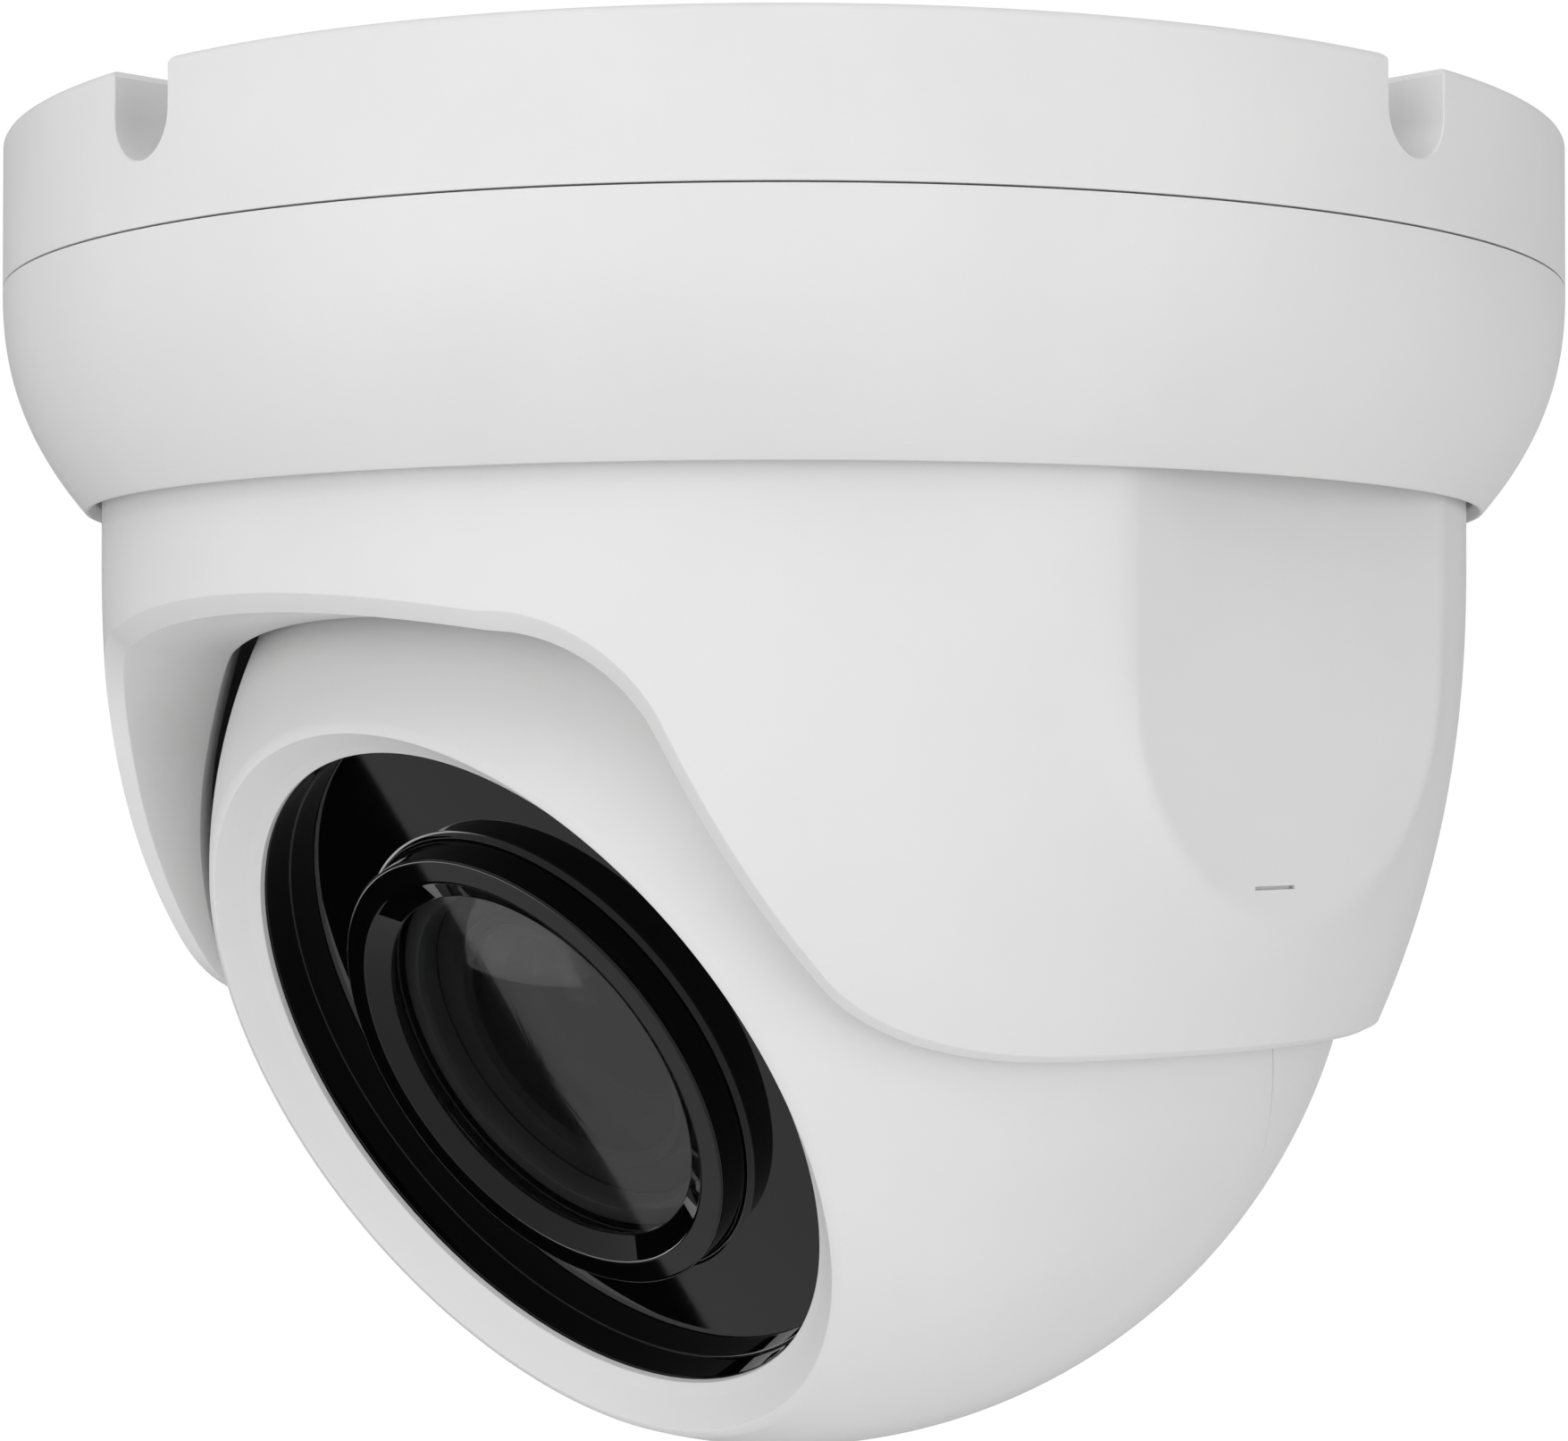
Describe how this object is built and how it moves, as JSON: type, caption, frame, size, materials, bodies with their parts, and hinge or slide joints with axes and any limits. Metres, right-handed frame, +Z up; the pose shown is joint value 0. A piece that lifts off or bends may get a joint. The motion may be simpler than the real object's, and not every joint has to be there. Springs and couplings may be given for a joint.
{
  "type": "turret camera",
  "caption": "Ceiling turret camera: round base, twist ring, turning shell and a tilting, rolling ball with a black window round the lens.",
  "frame": {"origin": "centre of the base in the plane of the ceiling", "axes": "+Z up into the ceiling, -Y the side the lens looks to at rest, +X to the right seen from the front"},
  "size_m": [0.094, 0.094, 0.0776],
  "materials": {
    "white_housing": "satin, very fine moulded grain",
    "window_black": "polished, dark infrared-passing plastic",
    "lens_black": "satin black",
    "clear_pane": "polished clear pane",
    "lens_glass": "coated optical glass",
    "filter_glass": "coated filter glass",
    "rubber": "matte",
    "foam": "closed-cell foam",
    "slip_plastic": "smooth natural plastic",
    "steel": "zinc plated",
    "aluminium": "milled",
    "brass": "turned",
    "copper": "enamelled wire",
    "circuit_board": "solder mask",
    "chip": "moulded",
    "lamp": "clear domes on white bases"
  },
  "bodies": {
    "mount_base": {"base": "white_housing", "ceiling_gasket": "foam", "friction_ring": "slip_plastic"},
    "ring": {"twist_ring": "white_housing"},
    "shell": {"swivel_shell": "white_housing"},
    "yoke": {"tilt_yoke": "steel", "pivot_pins": "steel", "roll_hub": "steel", "hub_clip": "steel", "cable_grommet": "rubber"},
    "ball": {"ball_front": "white_housing", "ball_rear": "white_housing", "front_window": "window_black", "lens_pane": "clear_pane", "lens_barrel": "lens_black", "front_lens": "lens_glass", "ball_seal": "rubber", "ball_screws": "steel", "window_seal": "rubber", "front_bracket": "aluminium", "bracket_screws": "steel", "ir_board": "circuit_board", "ir_lamps": "lamp", "light_sensor": "chip", "foam_collar": "foam", "middle_lens": "lens_glass", "rear_lens": "lens_glass", "lens_holder": "lens_black", "filter_coil": "copper", "sensor_board": "circuit_board", "image_sensor": "chip", "ribbon_cable": "slip_plastic", "standoffs": "brass", "main_board": "circuit_board", "processor": "chip", "heat_sink": "aluminium", "board_screws": "steel", "board_connector": "slip_plastic"},
    "filter": {"filter_frame": "lens_black", "filter_glasses": "filter_glass"}
  },
  "joints": [
    {"name": "ring_twist", "type": "hinge", "parent": "mount_base", "child": "ring", "pos_m": [0, 0, -0.015], "axis": [0, 0, 1], "range_deg": [0, 25]},
    {"name": "pan", "type": "hinge", "parent": "mount_base", "child": "shell", "pos_m": [0, 0, -0.015], "axis": [0, 0, 1], "range_deg": [-180, 180]},
    {"name": "tilt", "type": "hinge", "parent": "shell", "child": "yoke", "pos_m": [0, 0, -0.04275], "axis": [1, 0, 0], "range_deg": [-14.5, 60.5]},
    {"name": "roll", "type": "hinge", "parent": "yoke", "child": "ball", "pos_m": [0, 0, -0.04275], "axis": [0, -0.8704, -0.4924], "range_deg": [-180, 180]},
    {"name": "filter_shift", "type": "slide", "parent": "ball", "child": "filter", "axis": [-1, 0, 0], "range_m": [0, 0.007]}
  ]
}
